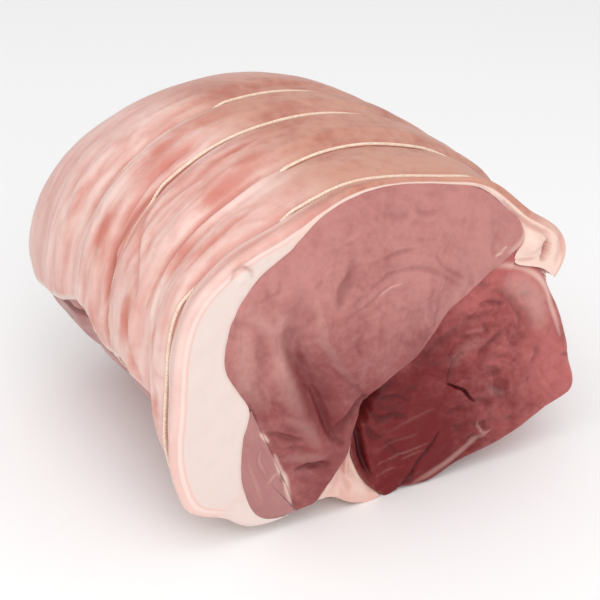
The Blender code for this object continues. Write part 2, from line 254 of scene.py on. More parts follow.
def shaped_sphere(name, place, looks):
    """place is (rings + 1, columns, 3) in metres: each point of a UV sphere goes to its own place."""
    rings, columns = place.shape[0] - 1, place.shape[1]
    bm = bmesh.new()
    bmesh.ops.create_uvsphere(bm, u_segments=columns, v_segments=rings, radius=1)
    start = np.array([v.co for v in bm.verts])
    ring = np.rint((np.arcsin(np.clip(start[:, 2], -1, 1)) / math.pi + 0.5) * rings).astype(int)
    turn = np.arctan2(start[:, 1], start[:, 0]) / (2 * math.pi)
    column = np.rint(turn * columns).astype(int) % columns
    place_all(bm.verts, place[ring, column])
    thing = closed_piece(name, bm)
    note_all(thing, {look: values[ring, column] for look, values in looks.items()})
    print(name, "has", len(thing.data.polygons), "faces")
    return thing


# %% [markdown]
# The muscles meet along seams. Each seam is a line on the cut face, drawn once and used by both neighbours,
# so no sliver of space opens between them.
# %% Seams between the muscles
SEAM_STEP = 1.15
SEAM_SAMPLES = 300
MEETING = (-12, 57)
EYE_ROUND_SEAM = ((67, 110), (57, 104), (48, 99), (38, 92), (28, 86), (20, 77), (12, 70), (2, 65), MEETING)
EYE_WEDGE_SEAM = (MEETING, (-18, 42), (-21, 30), (-28, 20), (-34, 12))
ROUND_WEDGE_SEAM = (MEETING, (-15, 38), (-15, 28), (-13, 18), (-8, 9), (-1, 2))
EYE_SMALL_SEAM = ((-44, 9), (-47, 19), (-51, 31), (-57, 46), (-64, 64))


def evenly_spaced(line, count):
    along = np.concatenate([[0], np.cumsum(np.linalg.norm(np.diff(line, axis=0), axis=1))])
    wanted = np.linspace(0, along[-1], count)
    return np.stack([np.interp(wanted, along, line[:, k]) for k in (0, 1)], 1)


def seam_line(points):
    numbered = [(i, *point) for i, point in enumerate(points)]
    curve = smooth_values(numbered, np.linspace(0, len(points) - 1, SEAM_SAMPLES))
    length = np.linalg.norm(np.diff(curve, axis=0), axis=1).sum()
    return evenly_spaced(curve, round(length / SEAM_STEP) + 1)


for side, seam in (("right", EYE_ROUND_SEAM), ("left", EYE_SMALL_SEAM)):
    print("The", side, "seam of the eye muscle has", len(seam_line(seam)), "points")

# %% [markdown]
# A muscle's outline goes along its seams and, between them, round the outside of all the lean. Booleans could
# cut the muscles apart too, but then no two sections would have the same points.
# %% Outline of one muscle
SEAM_GAP = 0.06
ARC_STEP = 0.9
# From seam to seam, anticlockwise; None is the outside of the lean
EYE_OUTLINE = (None, EYE_SMALL_SEAM[::-1], None, EYE_WEDGE_SEAM[::-1], EYE_ROUND_SEAM[::-1])
ROUND_OUTLINE = (None, EYE_ROUND_SEAM, ROUND_WEDGE_SEAM)
SMALL_OUTLINE = (None, EYE_SMALL_SEAM)
WEDGE_OUTLINE = (None, ROUND_WEDGE_SEAM[::-1], EYE_WEDGE_SEAM)


def bearing(point):
    return math.degrees(math.atan2(point[1] - CENTRE[1], point[0] - CENTRE[0])) % 360


def muscle_loop(stretches):
    """An outline's (points, angles): points on a seam have no angle, and those on the outside only that."""
    seams = [None if stretch is None else seam_line(stretch) for stretch in stretches]
    points, angles = [], []
    for i, seam in enumerate(seams):
        if seam is None:
            start, end = bearing(seams[i - 1][-1]), bearing(seams[(i + 1) % len(seams)][0])
            end += 360 * (end < start)
            wanted = np.linspace(start, end, round((end - start) / ARC_STEP) + 2)[1:-1]
            points += [(0.0, 0.0)] * len(wanted)
            angles += list(wanted)
        else:
            shared = 0 if seams[i - 1] is None else 1
            points += [tuple(p) for p in seam[shared:]]
            angles += [np.nan] * (len(seam) - shared)
    return np.array(points), np.array(angles)


def lean_section(loop, behind):
    """The muscle's outline at a place along the roll; behind may differ from point to point."""
    points, angles = loop
    on_arc = ~np.isnan(angles)
    offset = points - CENTRE
    radius = np.linalg.norm(offset, axis=1)
    seam_angle = np.degrees(np.arctan2(offset[:, 1], offset[:, 0])) % 360
    angle = np.where(on_arc, angles % 360, seam_angle)
    limit = outline_radius(LEAN_AT_FACE, LEAN_BEHIND, angle, behind)
    placed = polar(angle, np.where(on_arc, limit, np.minimum(radius, limit)))
    along = np.roll(placed, -1, 0) - np.roll(placed, 1, 0)
    along /= np.linalg.norm(along, axis=1)[:, None]
    inwards = np.stack([-along[:, 1], along[:, 0]], 1)
    return placed + np.where(on_arc, 0.0, SEAM_GAP)[:, None] * inwards


for meat, outline in (("eye", EYE_OUTLINE), ("round", ROUND_OUTLINE), ("small", SMALL_OUTLINE)):
    print("The", meat, "muscle's outline has", len(muscle_loop(outline)[0]), "points")

# %% [markdown]
# The cut face isn't flat: the knife left folds, slits and hollows. They could be sculpted by hand or painted as
# a bump, but a list of lines with a depth and a width each is easy to read and gives true shadows.
# A line's darkness is kept as well: each fold's colour is darkened by it, as painted shade.
# %% Grooves and ledges along a line
END_WIDTH, END_DEPTH = 0.4, 0.2  # what is left of a groove at its ends


def away_from(x, z, line):
    """Distance from a line of points, which side of it (+1 is its left), and how far along it (0 to 1)."""
    line = np.array(line, float)
    best = np.full(np.shape(x), 1e9)
    side = np.ones_like(best)
    along = np.zeros_like(best)
    if len(line) == 1:
        return np.hypot(x - line[0, 0], z - line[0, 1]), side, along + 0.5
    for i, (start, end) in enumerate(zip(line[:-1], line[1:])):
        dx, dz = end - start
        t = np.clip(((x - start[0]) * dx + (z - start[1]) * dz) / (dx * dx + dz * dz), 0, 1)
        gap_x, gap_z = x - start[0] - t * dx, z - start[1] - t * dz
        gap = np.hypot(gap_x, gap_z)
        nearer = gap < best
        best = np.where(nearer, gap, best)
        side = np.where(nearer, np.sign(dx * gap_z - dz * gap_x), side)
        along = np.where(nearer, (i + t) / (len(line) - 1), along)
    return best, side, along


def flowing(line):
    """The same line with its corners rounded."""
    if len(line) < 3:
        return line
    numbered = [(i, *point) for i, point in enumerate(line)]
    return smooth_values(numbered, np.linspace(0, len(line) - 1, 3 * len(line)))


def groove(x, z, line, half_width):
    """1 in the middle of a line, 0 beyond half_width, narrower and fainter towards both ends."""
    gap, _, along = away_from(x, z, line)
    ends = np.sqrt(np.clip(4 * along * (1 - along), 0, 1))
    narrowed = half_width * (END_WIDTH + (1 - END_WIDTH) * ends)
    return (END_DEPTH + (1 - END_DEPTH) * ends) * np.clip(1 - (gap / narrowed) ** 2, 0, 1) ** 2


def ledge(x, z, line, sharp, reach):
    """Steps up from 0 to 1 on the left of a line and sinks back to 0 further away."""
    gap, side, along = away_from(x, z, line)
    gap = gap * side
    ends = smooth_step(-0.05, 0.35, along) * smooth_step(1.2, 0.9, along)
    return smooth_step(-sharp, sharp, gap) * np.exp(-np.maximum(gap, 0) / reach) * ends


half_way = float(groove(0.5, 0, ((0, -9), (0, 9)), 1.0))
print("Half way to its rim a groove has", round(half_way, 2), "of its depth")

# %% [markdown]
# The pale eye muscle bulges, with a broad hollow down its middle and a raised lobe of meat that overhangs it.
# Each fold in the table is (depth, half width, darkness, line), in mm; the lobe's edge is a line of its own.
# %% Folds of the eye muscle's face
EYE_FOLDS = (
    (4.6, 9.5, 0.36, ((-49, 99), (-43, 81), (-39, 73), (-35, 62.5), (-32.5, 56), (-30.5, 49), (-27, 43))),
    (1.8, 9.0, 0.25, ((-41, 114), (-45, 100), (-46, 88), (-43, 76))),
    (1.0, 3.6, 0.45, ((-48, 88), (-43, 81), (-40, 74), (-37, 66))),
    (2.0, 2.8, 0.8, ((-37, 68), (-33, 58), (-30.5, 49), (-28, 42), (-23, 38))),
    (2.0, 3.6, 0.7, ((-28, 43), (-22, 50), (-16, 56), (-10, 60))),
    (1.3, 4.2, 0.45, ((-20, 122), (-22, 115), (-25, 110), (-28, 103))),
    (1.1, 4.0, 0.15, ((-59.5, 101.5), (-60, 93), (-60.5, 85), (-61.5, 77))),
    (0.8, 3.0, 0.15, ((-73.5, 107.5), (-68, 104), (-59.5, 100.5))),
    (0.8, 3.0, 0.15, ((-58.5, 119.5), (-54.5, 110.5), (-49.5, 104))),
    (1.5, 2.2, 0.5, ((-57.5, 52), (-52.5, 49.5), (-47.5, 47), (-42.5, 45))),
    (0.9, 2.0, 0.3, ((-48.5, 42.5), (-41.5, 41))),
    (2.4, 2.6, 0.6, ((-45, 30), (-39.5, 31), (-34, 31), (-29.5, 29.5))),
    (0.5, 1.6, 0.25, ((-7, 119.5), (1.5, 120.5), (8, 120))),
    (0.6, 1.8, 0.25, ((-13, 108.5), (-4, 112), (6, 112.5), (15, 109.5), (23.5, 104), (32, 97.5))),
    (0.5, 1.5, 0.25, ((18, 117), (21, 110.5), (29, 104), (32.5, 101.5))),
    (0.5, 1.5, 0.2, ((-24, 99), (-18.5, 100.5), (-13, 103), (-8, 106), (-2.5, 108))),
)
EYE_LOBE = (
    (-19.5, 67), (-24, 72.5), (-29, 79.5), (-32, 85), (-35.5, 90.5), (-36, 96.5), (-36.5, 103.5),
    (-37.5, 108.5),
)
print("The eye muscle's face has", len(EYE_FOLDS), "folds, the deepest", max(f[0] for f in EYE_FOLDS), "mm")

# %% [markdown]
# The dark round muscle was torn as much as cut: it has slits, short folds at its lower left, and a deep
# hollow along the seam. The small muscle and the fat have only a few folds. A negative depth is a bump.
# %% Folds of the other faces
ROUND_FOLDS = (
    (2.4, 1.0, 1.0, ((29, 51), (33.5, 48), (37.5, 45.5), (40.5, 41.5), (44.5, 37))),
    (1.0, 2.2, 0.35, ((29, 52.5), (31, 56.5), (34, 61.5), (37, 63.5))),
    (3.0, 1.3, 1.0, ((25.5, 27.5), (23.5, 23), (21, 19), (17, 14.5), (15, 11), (13.5, 7.5), (11, 6))),
    (8.0, 5.5, 1.0, ((0, 60), (-5, 56), (-8, 50), (-10, 44), (-11, 38))),
    (1.2, 2.0, 0.6, ((-6, 50), (-1, 54), (4, 58))),
    (1.4, 2.0, 0.6, ((-8.5, 52), (-2, 50), (5, 50), (12, 47))),
    (5.0, 3.0, 1.0, ((-12, 42), (-12, 35), (-11, 29), (-10, 23), (-8, 17), (-6, 12))),
    (2.0, 2.6, 0.6, ((-7, 45), (-2, 40), (5, 41), (11, 38))),
    (1.8, 2.4, 0.6, ((-8, 38), (-6, 33), (0, 31))),
    (-1.2, 2.6, 0.0, ((-3, 47), (2, 45), (9, 46))),
    (-1.0, 2.4, 0.0, ((-5, 35), (0, 36), (6, 35))),
    (1.2, 2.0, 0.4, ((2, 29), (4, 24), (8, 20))),
    (1.4, 3.4, 0.35, ((14, 62), (24, 70), (36, 76), (50, 80))),
    (1.2, 3.0, 0.3, ((50, 90), (58, 86), (64, 78), (66, 70))),
    (1.2, 3.0, 0.3, ((44, 62), (52, 66), (60, 72))),
    (1.8, 3.2, 0.5, ((50.5, 24.5),)),
    (1.0, 2.2, 0.25, ((39.5, 73), (41, 78.5), (43.5, 81))),
    (1.0, 2.0, 0.4, ((46.5, 75.5), (48.5, 70))),
    (1.0, 2.4, 0.3, ((74.5, 57), (76.5, 53), (72, 48.5))),
    (1.4, 3.0, 0.3, ((53.5, 53.5), (55.5, 45), (56.5, 38.5), (62.5, 36))),
    (0.8, 2.4, 0.3, ((64.5, 83.5), (72, 84))),
    (0.9, 2.0, 0.3, ((60, 63), (64, 60))),
    (2.0, 2.0, 0.9, ((14.5, 6.5), (8, 4.5))),
)
SMALL_FOLDS = (
    (1.2, 2.0, 0.5, ((-50.5, 31), (-49.5, 25))),
    (0.6, 2.4, 0.1, ((-61, 44), (-60, 36), (-57, 30))),
)
WEDGE_FOLDS = (
    (1.6, 2.2, 0.3, ((-21, 22), (-19, 16), (-17, 10))),
    (1.2, 2.0, 0.2, ((-19, 19), (-12, 16))),
    (1.0, 1.8, 0.2, ((-10, 13), (-6, 6))),
)
print("The other faces have", len(ROUND_FOLDS), len(SMALL_FOLDS), "and", len(WEDGE_FOLDS), "folds")

# %% [markdown]
# White membranes and veins run over raw meat, and stretches of it are paler than the rest. They are flat, so
# they are strokes of colour, (half width, strength, line). A painted image could show them too, but strokes
# stay sharp at any size, and one can cross the seam between two muscles. The faint stroke along the lobe's edge
# is a painted highlight.
# %% Pale lines
SEAM_OF_SMALL = ((-66, 70), *EYE_SMALL_SEAM[::-1], (-42, 0))
MEMBRANE = (2.2, 0.95, ((-54, 40.5), (-51.5, 32), (-49, 27), (-48, 21), (-46.5, 14)))
WHITE_BIT = (1.6, 0.9, ((-60.5, 52.5), (-56.5, 47)))
EYE_PALE = (
    MEMBRANE, WHITE_BIT,
    # painted highlight along the lobe's raised edge
    (2.6, 0.14, EYE_LOBE),
    (1.0, 0.7, ((48.5, 106), (55, 110))),
    (2.2, 0.6, ((60, 128), (63.5, 120.5), (65, 113), (61, 108.5), (55.5, 106.5))),
    (7.0, 0.2, ((-53, 108), (-52.5, 92), (-51, 80), (-48, 68), (-42, 54))),
    (7.0, 0.16, ((-68, 104), (-67, 88), (-66, 76), (-58, 62))),
    (6.0, 0.14, ((-66, 110), (-56, 99), (-48, 88))),
    (5.0, 0.16, ((-50, 57), (-41, 51), (-36, 40))),
    (4.0, 0.14, ((-50, 37), (-42, 36.5), (-32, 35))),
    (0.8, 0.35, ((-10, 104), (-4, 106.5), (2, 107))),
)
ROUND_PALE = (
    (2.4, 0.75, ((50, 101), (58, 99.5), (67, 96), (74, 90.5), (80, 82), (84, 71.5), (89, 58))),
    (10.0, 0.3, ((56, 93), (66, 88), (74, 78), (79, 64))),
    (0.9, 0.12, ((-5, 17), (4.5, 20.5), (14.5, 22), (21.5, 23.5))),
    (0.9, 0.1, ((-3.5, 12), (1.5, 14), (6, 15))),
    (0.9, 0.1, ((8, 18), (14, 19.5), (19, 20))),
    (1.2, 0.06, ((-3, 25), (6, 28), (16, 29.5))),
    (1.2, 0.06, ((2, 33), (12, 37), (24, 40))),
    (3.0, 0.12, ((49, 45), (54, 40), (61, 36))),
    (1.1, 0.35, ((46, 27), (47.5, 23), (50, 20), (54, 20.5))),
    (1.4, 0.15, ((64, 81), (69, 83), (75, 82))),
    (1.4, 0.12, ((38, 72), (43, 73), (48, 72))),
    (2.6, 0.32, ((14, 3.5), (24, 6.5), (34, 11), (44, 17), (52, 20))),
    (5.0, 0.1, ((30, 58), (38, 66), (48, 68))),
)
SMALL_PALE = (
    MEMBRANE, WHITE_BIT,
    (1.0, 0.3, ((-57.5, 27.5), (-54.5, 30.5), (-51.5, 31))),
    (1.0, 0.2, ((-60.5, 44.5), (-61, 39), (-58, 32.5))),
    (1.2, 0.14, ((-66, 40), (-63, 30), (-60, 20))),
)
print("There are", len(EYE_PALE + ROUND_PALE + SMALL_PALE), "pale strokes")

# %% [markdown]
# A few numbers more tell one muscle's face from another.
# deepest is the point (x, z) towards which the face's colour darkens, the distance where this starts, where it
# is full, and its strength.
# grain is the point that the streaks of the meat run round, and calm how far from it they begin (mm).
# scattered is how many small chance folds there are, and their depth, half width and darkness, which is painted
# shade.
# %% Numbers for each face
EYE_FACE = {
    "folds": EYE_FOLDS, "pales": EYE_PALE, "deepest": (-26, 42, 84, 8, 0.95), "grain": (-2.5, 83.5),
    "calm": 30, "rough": 0.8, "scattered": (60, 0.45, 2.4, 0.2), "seed": 3,
}
ROUND_FACE = {
    "folds": ROUND_FOLDS, "pales": ROUND_PALE, "deepest": (8, 28, 92, 22, 1.0), "grain": (15, -40),
    "calm": 0, "rough": 1.5, "scattered": (64, 0.8, 2.6, 0.28), "seed": 11,
}
SMALL_FACE = {
    "folds": SMALL_FOLDS, "pales": SMALL_PALE, "deepest": (-60, 30, 1, 0, 0), "grain": (-300, -60),
    "calm": 0, "rough": 0.5, "scattered": (8, 0.3, 1.5, 0.15), "seed": 21,
}
WEDGE_FACE = {
    "folds": WEDGE_FOLDS, "pales": (), "deepest": (-16, 40, 22, 4, 0.6), "grain": (-100, 60),
    "calm": 0, "rough": 1.0, "scattered": (8, 0.6, 1.8, 0.2), "seed": 31,
}
print("Each face is told by", list(EYE_FACE))

# %% [markdown]
# Between the folds of the tables there are many small ones. They are drawn by chance, but each face has its
# own seeded generator, so they are the same every time. They run round the grain's middle, as the streaks do.
# %% Chance folds
FOLD_BEND = 0.35
FOLD_LENGTH = (4, 13)
FOLD_SIZE = (0.4, 1.3)
FOLD_WIDTH = (0.7, 1.3)


def chance_folds(face, low, high):
    """Short folds at chance places between the corners low and high, drawn out along the grain."""
    count, depth, half_width, dark = face["scattered"]
    draw = random.Random(face["seed"])
    folds = []
    for _ in range(count):
        start = np.array([draw.uniform(low[0], high[0]), draw.uniform(low[1], high[1])])
        out = start - face["grain"]
        ahead = np.array([-out[1], out[0]]) / np.hypot(*out)
        sideways = np.array([-ahead[1], ahead[0]]) * draw.uniform(-FOLD_BEND, FOLD_BEND)
        length = draw.uniform(*FOLD_LENGTH)
        line = (start, start + (ahead + sideways) * length / 2, start + (ahead - sideways) * length)
        size = draw.uniform(*FOLD_SIZE)
        folds.append((depth * size, half_width * draw.uniform(*FOLD_WIDTH), dark * size, line))
    return tuple(folds)


first_fold = chance_folds(ROUND_FACE, (0, 0), (90, 90))[0]
print("A chance fold of the round muscle is", round(first_fold[0], 2), "mm deep")

# %% [markdown]
# The folds are cut into a soft unevenness. Where the small muscle meets the eye, both faces lie level, so no
# step shows along the membrane. The eye's top also has fine arcs, left by the knife.
# %% Relief of a cut face
UNEVEN = ((0.9, 24.0), (0.35, 8.0))  # (height, size) of the lumps
LEVEL_BY_SEAM = 6.0
ARC_HEIGHT, ARC_WAVE = 0.16, 1.15
LOBE_HEIGHT, LOBE_SHARP, LOBE_REACH = 3.0, 2.0, 20.0


def wandering(x, z, size, seed):
    """Lumps over the flat face."""
    return lumps(np.column_stack([x.ravel(), z.ravel(), x.ravel() * 0]), size, seed).reshape(x.shape)


def face_relief(face, folds, x, z):
    """How far a cut face stands out (mm)."""
    relief = sum(high * wandering(x, z, size, face["seed"] + i) for i, (high, size) in enumerate(UNEVEN))
    relief *= face["rough"]
    if MEMBRANE in face["pales"]:
        relief *= 1 - groove(x, z, SEAM_OF_SMALL, LEVEL_BY_SEAM)
    for depth, half_width, _, line in folds:
        relief -= depth * groove(x, z, flowing(line), half_width)
    if face is EYE_FACE:
        out = np.hypot(x - face["grain"][0], z - face["grain"][1])
        in_arcs = smooth_step(14, 22, out) * smooth_step(52, 40, out) * smooth_step(82, 94, z)
        relief += ARC_HEIGHT * in_arcs * np.sin(out * ARC_WAVE + 2.2 * wandering(x, z, 20.0, 7))
        relief += LOBE_HEIGHT * ledge(x, z, EYE_LOBE[::-1], LOBE_SHARP, LOBE_REACH)
    return relief


print("Relief is lumps of", UNEVEN, "mm, less the folds")

# %% [markdown]
# A material can't know where a fold is. So the lines that make the relief also give numbers that are kept at
# the mesh's points: how dark a fold is painted, as painted shade, how much the colour darkens towards one
# point, how pale a stroke, and the place across the grain.
# %% What the material reads
GRAIN_WANDERS = (7.0, 22.0)  # how far, and over what size
DARKENING_WANDERS = (10, 26.0)


def strongest(lines, x, z):
    """The strongest of (half width, strength, line) strokes at a place."""
    strokes = [strength * groove(x, z, flowing(line), half) for half, strength, line in lines]
    return np.max([0 * x] + strokes, axis=0)


def face_looks(face, folds, x, z):
    """fold, tone, pale and grain at places on a cut face."""
    at_x, at_z, far, near, most = face["deepest"]
    fold = strongest([(half, dark, line) for _, half, dark, line in folds], x, z)
    darkening_far, darkening_size = DARKENING_WANDERS
    away = np.hypot(x - at_x, z - at_z) + darkening_far * wandering(x, z, darkening_size, face["seed"] + 5)
    grain = np.sqrt((x - face["grain"][0]) ** 2 + (z - face["grain"][1]) ** 2 + face["calm"] ** 2)
    grain_far, grain_size = GRAIN_WANDERS
    grain += grain_far * wandering(x, z, grain_size, face["seed"] + 6)
    return fold, most * smooth_step(far, near, away), strongest(face["pales"], x, z), grain


spot_fold_shade = face_looks(EYE_FACE, EYE_FOLDS, np.array([-37.0]), np.array([68.0]))[0]
print("In the eye's hollow a fold's darkness is", round(float(spot_fold_shade[0]), 2))

# %% [markdown]
# The rings of a muscle start in the middle of its cut face, run out over its relief and bend round the face's
# edge, which is sharp where the knife went through and rounder where the meat bulges.
# The face's relief is added as a distance towards the viewer.
# %% Rings over the cut face
FACE_RINGS = 140
EDGE_RINGS = 8


def rays(edge, middle):
    """From the middle of a face to each point of its edge: the way, its length and its direction."""
    outwards = edge - middle
    reach = np.linalg.norm(outwards, axis=1)
    return outwards, reach, outwards / reach[:, None]


def face_rows(edge, middle, proud, edge_proud, edge_radius, face, folds):
    """Rings as (points, behind, share cut, share side), and how far behind the face they end."""
    outwards, reach, heading = rays(edge, middle)
    direction = np.degrees(np.arctan2(outwards[:, 1], outwards[:, 0])) % 360
    level = smooth_values(edge_proud, direction, period=360)[..., 0]
    round_off = smooth_values(edge_radius, direction, period=360)[..., 0]
    flat = 1 - np.minimum(round_off / reach, 0.5)
    shares = np.linspace(0, 1, FACE_RINGS + 1)
    on_face = middle + (outwards * flat[:, None]) * shares[:, None, None]
    relief = face_relief(face, folds, on_face[..., 0], on_face[..., 1])
    swelling = proud + (level - proud) * shares[:, None] ** 2
    rows = [(points, behind, 1.0, 0.0) for points, behind in zip(on_face, -swelling - relief)]
    for turn in np.linspace(0, math.pi / 2, EDGE_RINGS + 1)[1:]:
        cut = math.cos(turn)
        points = edge - heading * (round_off * (1 - math.sin(turn)))[:, None]
        rows.append((points, round_off * (1 - cut) - level - relief[-1] * cut, cut, 1 - cut))
    return rows, round_off - level


print("A cut face has", FACE_RINGS, "rings and its edge", EDGE_RINGS)

# %% [markdown]
# Behind the face the rings follow the section along the roll, a little lumpy, and close over a rounded far end.
# %% Rings along the side and over the far end
LEAN_END = 172.0
SIDE_RINGS = 70
FAR_RINGS = 14
SIDE_LUMPS, SIDE_LUMP_SIZE, SIDE_SINKS = 0.8, 26.0, 0.3
FAR_SWELL, FAR_SWELL_SHARE = 10.0, 0.17  # at most this far, and this share of the muscle's reach


def side_rows(loop, edge, middle, start):
    """Rings along a muscle's side, from start to its far end."""
    _, reach, heading = rays(edge, middle)
    rows = []
    for share in np.linspace(0, 1, SIDE_RINGS + 1)[1:]:
        behind = start + (LEAN_END - start) * share
        section = lean_section(loop, np.maximum(behind, 0))
        uneven = SIDE_LUMPS * lumps(np.column_stack([section, behind]), SIDE_LUMP_SIZE, 1) - SIDE_SINKS
        bulge = uneven * smooth_step(0, 6, behind - start)
        rows.append((section + heading * bulge[:, None], behind, 0.0, 1.0))
    far_swell = min(FAR_SWELL, FAR_SWELL_SHARE * reach.mean())
    last = rows[-1][0]
    for share in np.cos(np.linspace(0, math.pi / 2, FAR_RINGS + 1))[1:]:
        behind = np.full(len(last), LEAN_END + far_swell * math.sqrt(1 - share**2))
        rows.append((middle + (last - middle) * share, behind, 0.0, float(smooth_step(0.8, 1.0, share))))
    return rows


def muscle(name, outline, middle, proud, edge_proud, edge_radius, face):
    """One muscle: edge_proud and edge_radius are (angle about the middle, mm) tables."""
    loop, middle = muscle_loop(outline), np.array(middle, float)
    edge = lean_section(loop, 0.0)
    folds = face["folds"] + chance_folds(face, edge.min(0), edge.max(0))
    rows, start = face_rows(edge, middle, proud, edge_proud, edge_radius, face, folds)
    rows += side_rows(loop, edge, middle, start)
    points, behinds, cuts, sides = (np.array(column) for column in zip(*rows))
    x, z = np.moveaxis(points, -1, 0)
    cut, side = cuts[:, None] + 0 * x, sides[:, None] + 0 * x
    fold, tone, pale, grain = face_looks(face, folds, x, z)
    looks = {"fold": fold * cut, "pale": pale * cut, "grain": grain, "side": side}
    looks["tone"] = tone * (0.4 + 0.6 * cut)
    return shaped_sphere(name, roll_point(x, z, behinds), looks)


print("A muscle has", FACE_RINGS + EDGE_RINGS + SIDE_RINGS + FAR_RINGS, "rings in all")

# %% [markdown]
# The eye muscle is the big pale one. It stands 6.5 mm proud in the middle, is cut sharp at its left and top,
# and its lower right edge hangs forward, round and thick, over the seam. The tables say so by angle.
# %% The eye muscle
eye_edge = ((20, 1), (60, 0), (180, 0), (225, 0), (254, 0), (266, 2.5), (300, 6), (335, 5))
eye_round_off = (
    (5, 2.5), (20, 0.6), (60, 0.2), (180, 0.2), (225, 0.1), (255, 0.1), (268, 3), (300, 5), (335, 4),
)
eye_lean = muscle("eye_lean", EYE_OUTLINE, (-20, 86), 6.5, eye_edge, eye_round_off, EYE_FACE)

# %% [markdown]
# The round muscle sinks back along the seam, in the eye's shadow. The small one is flat and level with the eye.
# The fat between them fills the wedge under the seam, and lies a little deeper.
# %% The other muscles and the fat between them
round_edge = ((0, 0), (70, 0), (110, -2), (150, -4), (190, -7), (230, -2), (270, 0))
round_lean = muscle(
    "round_lean", ROUND_OUTLINE, (42, 50), 1.5, round_edge, ((0, 4), (180, 2.5)), ROUND_FACE,
)
small_lean = muscle(
    "small_lean", SMALL_OUTLINE, (-58, 30), 0.9, ((0, 0), (180, 0)), ((0, 0.3), (180, 0.2)), SMALL_FACE,
)
wedge_edge = ((0, -4), (90, -9), (180, 0), (270, 0))
seam_fat = muscle(
    "seam_fat_wedge", WEDGE_OUTLINE, (-20, 16), -1.0, wedge_edge, ((0, 2), (180, 2)), WEDGE_FACE,
)

# %% [markdown]
# Rind and fat are one blanket: the rind is its outer skin and the fat its thickness, white on the cut face.
# It is a block with many cuts along its width, length and thickness, bent round the lean.
# A sheet with Solidify would be quicker, but its thickness has to change from 3 to 30 mm along the rim.
# %% Make a finely cut block
def cut_block(cuts):
    """A cube of side 1 about the origin, cut evenly along x, y and z."""
    bm = bmesh.new()
    bmesh.ops.create_cube(bm, size=1)
    for axis, count in enumerate(cuts):
        along = [e for e in bm.edges if abs(e.verts[0].co[axis] - e.verts[1].co[axis]) > 0.5]
        bmesh.ops.subdivide_edges(bm, edges=along, cuts=count - 1)
    return bm


trial_block = cut_block((4, 3, 2))
print("A cube cut in 4, 3 and 2 has", len(trial_block.faces), "faces")
trial_block.free()

# %% [markdown]
# Where the strings pull, the rind gathers in puckers. Each is (height, half width, shading, line): a line on
# the skin with places (angle, mm behind the cut face), and shading above 0 is painted shade in a crease, below
# 0 painted highlight on a ridge.
# Flushed patches are (angle, behind, reach in angle, reach along the roll, strength).
# %% Puckers and patches of the rind
PUCKERS = (
    (2.0, 2.4, -2.2, ((112, 32), (130, 32), (146, 32.5), (166, 33.5))),
    (-1.2, 2.0, 1.8, ((118, 35.4), (132, 35.6), (148, 36), (164, 37))),
    (-1.4, 1.8, 1.8, ((137, 75), (146, 76.5), (160, 77.5), (174, 76))),
    (-0.7, 1.6, 0.8, ((140, 69), (152, 68), (166, 70))),
    (-0.7, 1.6, 0.7, ((126, 24), (138, 22), (150, 21))),
    (-1.5, 2.2, 0.8, ((124, 82), (135, 81), (146, 80), (153, 80), (160, 78), (170, 75), (178, 62))),
    (-1.0, 2.6, 0.5, ((136, 74), (144, 70), (150, 62), (157, 52), (163, 43))),
    (1.0, 3.0, -0.6, ((131, 53), (140, 56), (150, 57), (158, 45))),
    (-0.8, 2.0, 0.7, ((110, 58), (118, 56.5), (128, 61))),
    (-0.9, 2.5, 0.6, ((152, 97), (158, 90), (166, 84))),
    (-0.9, 3.0, 0.4, ((128, 97), (138, 100), (150, 104), (162, 99), (170, 95))),
    (0.9, 3.0, -0.5, ((140, 92), (152, 94), (162, 92), (172, 88))),
    (-0.8, 2.5, 0.4, ((120, 118), (134, 120), (150, 116), (166, 110))),
    (-0.8, 2.5, 0.4, ((130, 130), (146, 128), (160, 124))),
    (-1.0, 2.5, 0.5, ((166, 50), (174, 44), (184, 38), (192, 33))),
    (0.8, 2.5, -0.5, ((163, 33), (172, 28), (184, 24), (196, 22))),
)
SALMON = (
    (156, 87, 7, 4.5, 1.0), (131, 91, 8, 5, 0.9), (136, 82, 8, 4, 0.7), (169, 48, 9, 4, 0.9),
    (178, 41, 7, 3.5, 0.7), (148, 31, 8, 4, 0.7), (130, 42, 7, 5, 0.6), (117, 46, 6, 4, 0.8),
    (118, 57, 9, 2.5, 1.0), (166, 70, 8, 3, 0.5), (150, 106, 10, 4, 0.5), (108, 62, 12, 7, 0.7),
    (112, 93, 16, 8, 0.85), (124, 112, 10, 6, 0.4), (186, 22, 8, 4, 0.5), (160, 20, 8, 4, 0.5),
    (143, 22, 7, 4, 0.5), (158, 118, 8, 5, 0.5), (90, 62, 14, 8, 0.4), (172, 100, 6, 4, 0.4),
)
print("The rind has", len(PUCKERS), "puckers and", len(SALMON), "flushed patches")

# %% [markdown]
# Fine pleats run along the strings between the puckers: noise that is drawn out round the roll. A string lies
# in a furrow with a lip on each side, and where the rind has closed over it, the furrow changes its depth.
# %% Relief of the rind
PLEATS_SWAY, BROAD_PLEATS, NARROW_PLEATS = (16, 34), (30, 12), (22, 4.2)  # (degrees, mm along the roll)
FURROW_DEPTH, FURROW_WIDTH = 0.7, 1.7
LIP_HEIGHT, LIP_AT, LIP_WIDTH = 0.5, 3.4, 2.2
BURIED = ((122, 155), (114, 190), (141, 190), (107, 190))  # the angles at which the rind covers each string
# Besides the depth, CREASES sets how much darker the furrow is painted there, as painted shade.
CREASES = (0.2, -0.8, 1.2, 0.2)  # how much deeper the furrow is there; below 0 the string lifts the skin


def pleats(angle, behind, size, seed):
    return lumps(np.column_stack([angle / size[0], behind / size[1], angle * 0]), 1.0, seed)


